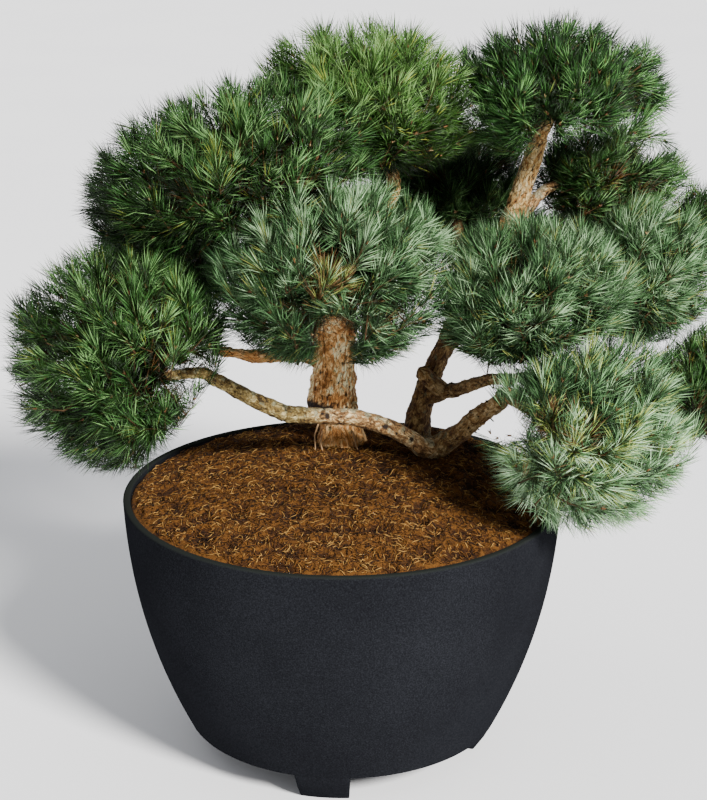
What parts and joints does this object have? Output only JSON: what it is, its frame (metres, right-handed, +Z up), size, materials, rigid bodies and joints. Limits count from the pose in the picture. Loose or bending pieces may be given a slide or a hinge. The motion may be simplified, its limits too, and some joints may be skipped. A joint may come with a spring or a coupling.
{
  "type": "potted repens scots pine",
  "caption": "Clipped multi-stem dwarf pine with cloud-like pads of needles on bare leaning trunks and boughs, standing in a wide round bowl pot on feet.",
  "frame": {"origin": "middle of the whole plant's footprint box, on the floor under the pot's feet", "axes": "+Z up; -Y towards the side that the picture shows; +X to the right there"},
  "size_m": [2.209, 1.5436, 2.1321],
  "materials": {
    "pot_plastic": "matt fine-grained moulded plastic, anthracite",
    "coir": "coarse fibrous coir soil",
    "bark_orange": "flaky orange-brown bark",
    "bark_dark": "rough dark bark with grey-green lichen",
    "bark_pale": "thin pale orange bark",
    "needles_deep": "deep green needles",
    "needles_bright": "bright yellow-green needles",
    "needles_blue": "blue-green needles"
  },
  "bodies": {
    "root": {"pot": "pot_plastic", "foot_front": "pot_plastic", "foot_right": "pot_plastic", "foot_back": "pot_plastic", "foot_left": "pot_plastic", "soil": "coir", "trunk_left": "bark_orange", "trunk_right": "bark_dark", "front_stem": "bark_dark", "long_bough_rise": "bark_pale", "long_bough_reach": "bark_pale", "left_bough": "bark_pale", "right_bough": "bark_dark", "upper_left_bough": "bark_pale", "centre_bough": "bark_pale", "back_left_bough": "bark_pale", "back_centre_bough": "bark_pale", "centre_right_bough": "bark_dark", "shade_bough": "bark_dark", "back_right_bough": "bark_pale", "right_reach_bough": "bark_pale", "far_high_bough": "bark_pale", "far_low_bough": "bark_dark", "rear_right_bough": "bark_pale", "pad_low_left": "needles_deep", "pad_upper_left": "needles_deep", "pad_top_middle": "needles_bright", "pad_top_right": "needles_deep", "pad_centre": "needles_blue", "pad_centre_right": "needles_blue", "pad_low_right": "needles_blue", "pad_back_right": "needles_deep", "pad_right": "needles_blue", "pad_far_right_high": "needles_deep", "pad_far_right_low": "needles_deep", "pad_shade": "needles_deep", "pad_back_left": "needles_deep", "pad_back_centre": "needles_deep", "pad_rear_right": "needles_blue"}
  },
  "joints": []
}
